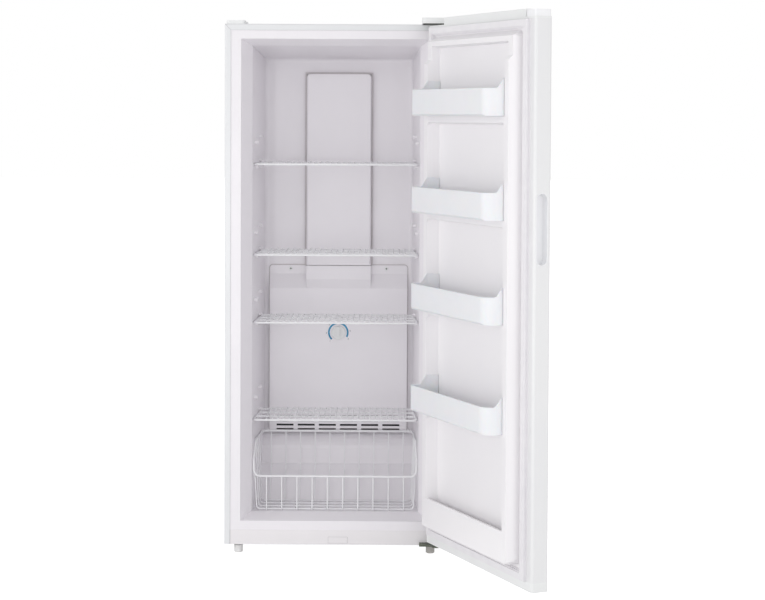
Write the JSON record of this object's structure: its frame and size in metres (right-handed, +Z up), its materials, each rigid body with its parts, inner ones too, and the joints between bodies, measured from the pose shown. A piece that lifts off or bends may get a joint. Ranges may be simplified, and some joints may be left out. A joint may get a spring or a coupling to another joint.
{
  "type": "upright freezer",
  "caption": "Tall cabinet freezer with a hinged insulated door, wire shelves, a pull-out wire basket, door bins and a moulded door pocket.",
  "frame": {"origin": "floor level, under the middle of the steel cabinet's footprint", "axes": "+Z up, +Y from the door side to the back, +X to the hinge side as seen from the front"},
  "size_m": [0.8337, 1.0909, 1.4548],
  "materials": {
    "white_steel": "satin",
    "plain_steel": "matte",
    "zinc_steel": "satin",
    "black_steel": "satin",
    "white_wire": "satin",
    "copper_tube": "satin",
    "fin_aluminium": "satin",
    "liner_plastic": "satin",
    "white_plastic": "satin",
    "grey_plastic": "matte",
    "black_plastic": "matte",
    "bin_plastic": "satin",
    "seal_rubber": "matte",
    "black_rubber": "matte",
    "foam": "matte"
  },
  "bodies": {
    "cabinet": {"outer_wrapper": "white_steel", "bottom_rail": "white_steel", "back_panel": "plain_steel", "machine_bulkhead": "plain_steel", "foam_insulation": "foam", "inner_liner": "liner_plastic", "compressor_base": "plain_steel", "compressor": "black_steel", "compressor_grommets": "black_rubber", "terminal_box": "black_plastic", "condenser": "black_steel", "discharge_tube": "copper_tube", "filter_drier": "copper_tube", "capillary_tube": "copper_tube", "suction_tube": "copper_tube", "drain_pan": "black_plastic", "drain_tube": "white_plastic", "compressor_cover": "plain_steel", "cord_inlet": "black_rubber", "evaporator_coil": "fin_aluminium", "defrost_heater": "fin_aluminium", "drain_trough": "fin_aluminium", "fan_shroud": "white_plastic", "fan_motor": "black_plastic", "evaporator_cover": "liner_plastic", "cover_caps": "white_plastic", "thermostat": "white_plastic", "duct_seal_strip": "black_rubber", "air_duct_cover": "liner_plastic", "top_hinge": "zinc_steel", "hinge_cover": "white_plastic", "hinge_hole_cover": "white_plastic", "bottom_hinge": "zinc_steel", "foot_bracket": "zinc_steel", "roller_brackets": "zinc_steel", "roller_axles": "zinc_steel"},
    "door": {"door_panel": "white_steel", "door_top_cap": "white_plastic", "door_bottom_cap": "white_plastic", "door_foam": "foam", "door_liner": "white_plastic", "door_seal": "seal_rubber", "notch_plug": "grey_plastic", "hinge_bushings": "grey_plastic", "grip_pocket": "grey_plastic"},
    "shelf_1": {"wire_shelf_1": "white_wire"},
    "shelf_2": {"wire_shelf_2": "white_wire"},
    "shelf_3": {"wire_shelf_3": "white_wire"},
    "shelf_4": {"wire_shelf_4": "white_wire"},
    "bin_1": {"door_bin_1": "bin_plastic"},
    "bin_2": {"door_bin_2": "bin_plastic"},
    "bin_3": {"door_bin_3": "bin_plastic"},
    "bin_4": {"door_bin_4": "bin_plastic"},
    "basket": {"wire_basket": "white_wire"},
    "knob": {"thermostat_knob": "white_plastic"},
    "fan": {"evaporator_fan": "grey_plastic"},
    "foot_left": {"foot_left": "black_plastic"},
    "roller_left": {"roller_left": "black_plastic"},
    "foot_right": {"foot_right": "black_plastic"},
    "roller_right": {"roller_right": "black_plastic"}
  },
  "joints": [
    {"name": "door_hinge", "type": "hinge", "parent": "cabinet", "child": "door", "pos_m": [0.28, -0.287, 0.726], "axis": [0, 0, 1], "range_deg": [-114, 21]},
    {"name": "shelf_1_slide", "type": "slide", "parent": "cabinet", "child": "shelf_1", "axis": [0, -1, 0], "range_m": [0, 0.25]},
    {"name": "shelf_2_slide", "type": "slide", "parent": "cabinet", "child": "shelf_2", "axis": [0, -1, 0], "range_m": [0, 0.25]},
    {"name": "shelf_3_slide", "type": "slide", "parent": "cabinet", "child": "shelf_3", "axis": [0, -1, 0], "range_m": [0, 0.25]},
    {"name": "shelf_4_slide", "type": "slide", "parent": "cabinet", "child": "shelf_4", "axis": [0, -1, 0], "range_m": [0, 0.25]},
    {"name": "basket_slide", "type": "slide", "parent": "cabinet", "child": "basket", "axis": [0, -1, 0], "range_m": [0, 0.25]},
    {"name": "bin_1_lift", "type": "slide", "parent": "door", "child": "bin_1", "axis": [0, 0, 1], "range_m": [0, 0.05]},
    {"name": "bin_2_lift", "type": "slide", "parent": "door", "child": "bin_2", "axis": [0, 0, 1], "range_m": [0, 0.05]},
    {"name": "bin_3_lift", "type": "slide", "parent": "door", "child": "bin_3", "axis": [0, 0, 1], "range_m": [0, 0.05]},
    {"name": "bin_4_lift", "type": "slide", "parent": "door", "child": "bin_4", "axis": [0, 0, 1], "range_m": [0, 0.05]},
    {"name": "thermostat_turn", "type": "hinge", "parent": "cabinet", "child": "knob", "pos_m": [0, 0.08, 0.567], "axis": [0, -1, 0], "range_deg": [-135, 135]},
    {"name": "fan_spin", "type": "hinge", "parent": "cabinet", "child": "fan", "pos_m": [0, 0.148, 0.673], "axis": [0, 1, 0], "continuous": true},
    {"name": "roller_left_spin", "type": "hinge", "parent": "cabinet", "child": "roller_left", "pos_m": [-0.27, 0.208, 0.0115], "axis": [1, 0, 0], "continuous": true},
    {"name": "foot_left_height", "type": "slide", "parent": "cabinet", "child": "foot_left", "axis": [0, 0, -1], "range_m": [0, 0.008]},
    {"name": "roller_right_spin", "type": "hinge", "parent": "cabinet", "child": "roller_right", "pos_m": [0.27, 0.208, 0.0115], "axis": [1, 0, 0], "continuous": true},
    {"name": "foot_right_height", "type": "slide", "parent": "cabinet", "child": "foot_right", "axis": [0, 0, -1], "range_m": [0, 0.008]}
  ]
}
